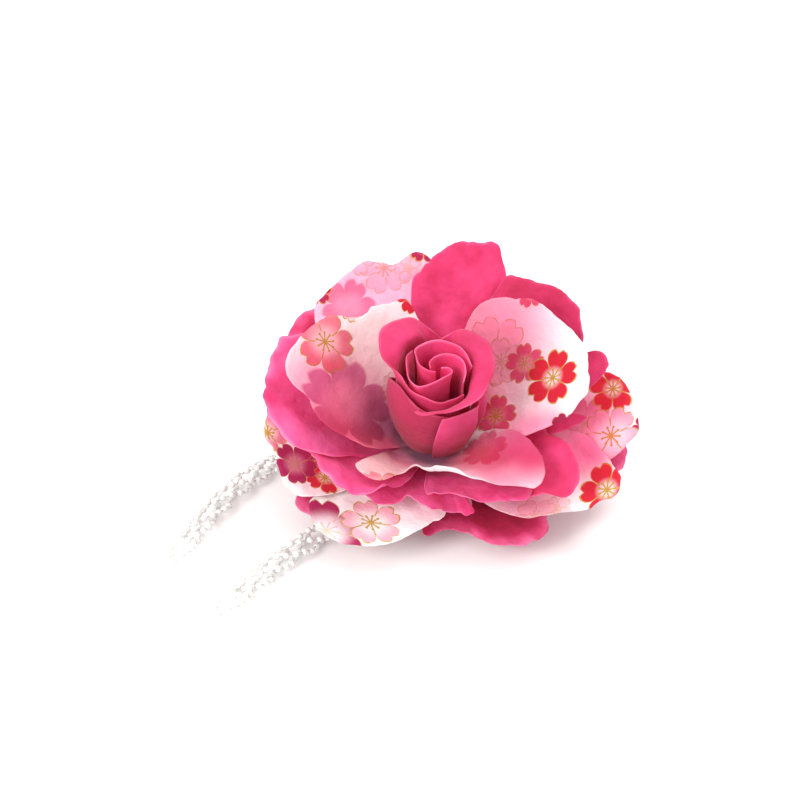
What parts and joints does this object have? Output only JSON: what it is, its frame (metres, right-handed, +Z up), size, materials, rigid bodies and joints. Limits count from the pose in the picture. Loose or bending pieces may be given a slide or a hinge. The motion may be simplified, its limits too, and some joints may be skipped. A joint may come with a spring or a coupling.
{
  "type": "beaded hair clip",
  "caption": "Hair clip carrying a large layered cloth rose in plain and blossom-printed petals, with bunches of strung pearl beads trailing from beneath.",
  "frame": {"origin": "centre of the clip's flat underside", "axes": "+Z up through the flower, -Y the way the flower leans and faces, the bead strings trail towards -X and -Y"},
  "size_m": [0.1333, 0.1033, 0.0587],
  "materials": {
    "plain_cloth": "hot pink woven cloth, soft sheen",
    "printed_cloth": "thin white cloth with printed blossoms, matte",
    "pearl_beads": "pearly white, glossy",
    "felt": "matte felt",
    "clip_metal": "satin"
  },
  "bodies": {
    "root": {"clip": "clip_metal", "flower_base": "felt", "low_front": "plain_cloth", "low_left": "plain_cloth", "low_back": "plain_cloth", "low_right": "plain_cloth", "low_side": "plain_cloth", "outer_front": "printed_cloth", "outer_left": "printed_cloth", "outer_right": "printed_cloth", "outer_corner": "printed_cloth", "outer_back": "printed_cloth", "middle_front": "plain_cloth", "middle_corner": "plain_cloth", "middle_right": "plain_cloth", "middle_side": "plain_cloth", "middle_back": "plain_cloth", "middle_top": "plain_cloth", "middle_left": "plain_cloth", "middle_low": "plain_cloth", "inner_front": "printed_cloth", "inner_right": "printed_cloth", "inner_left": "printed_cloth", "bud_core": "plain_cloth", "bud_inner_back": "plain_cloth", "bud_inner_front": "plain_cloth", "bud_left": "plain_cloth", "bud_right": "plain_cloth", "bud_front_left": "plain_cloth", "bud_front_right": "plain_cloth", "upper_beads_long": "pearl_beads", "upper_beads_short": "pearl_beads", "lower_beads_long": "pearl_beads", "lower_beads_short": "pearl_beads"}
  },
  "joints": []
}
